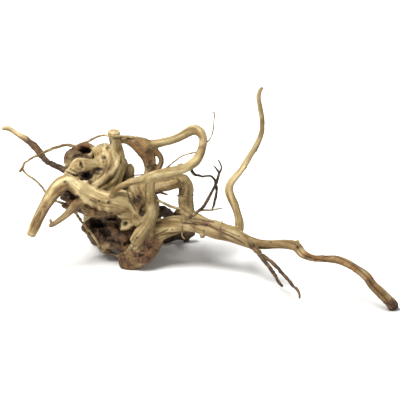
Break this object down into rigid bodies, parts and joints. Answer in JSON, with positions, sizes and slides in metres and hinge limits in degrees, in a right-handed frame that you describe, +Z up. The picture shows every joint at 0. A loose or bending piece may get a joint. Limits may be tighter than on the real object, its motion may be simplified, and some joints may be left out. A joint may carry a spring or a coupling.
{
  "type": "aquarium root wood",
  "caption": "One-piece branching red moorwood root for an aquarium: a knotted crown on a knobbly foot with long twisting arms, a looping limb and fine rootlets",
  "frame": {"origin": "centre of the bounding box's base, on the surface that the root stands on", "axes": "+Z up, +X along the long arm to the right as seen from the front, front facing -Y"},
  "size_m": [0.3906, 0.1906, 0.1857],
  "materials": {
    "root_wood": "weathered, dry, unfinished"
  },
  "bodies": {
    "root": {"moorwood_root": "root_wood"}
  },
  "joints": []
}
